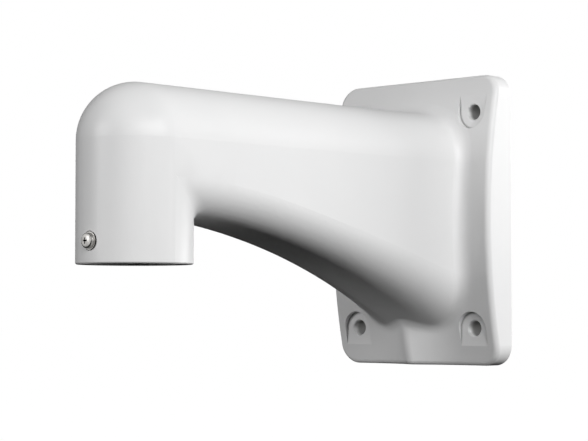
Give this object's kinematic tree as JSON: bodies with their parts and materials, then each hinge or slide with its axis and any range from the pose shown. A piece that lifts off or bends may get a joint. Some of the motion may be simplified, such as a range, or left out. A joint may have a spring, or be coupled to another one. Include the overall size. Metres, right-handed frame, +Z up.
{
  "type": "camera wall bracket",
  "caption": "White cast wall bracket for a security camera: arched wall plate, hollow tapering arm, and a downturned tube with a pipe-threaded mouth and a lock screw.",
  "frame": {"origin": "middle of the plate's flat back, on the wall", "axes": "+X out of the wall along the arm, +Z up, Y level along the wall"},
  "size_m": [0.2702, 0.12, 0.168],
  "materials": {
    "white_powder_coat": "smooth satin white powder coat on cast aluminium",
    "bright_steel": "nickel-plated steel"
  },
  "bodies": {
    "root": {"bracket_casting": "white_powder_coat", "lock_screw": "bright_steel", "lock_washer": "bright_steel"}
  },
  "joints": []
}
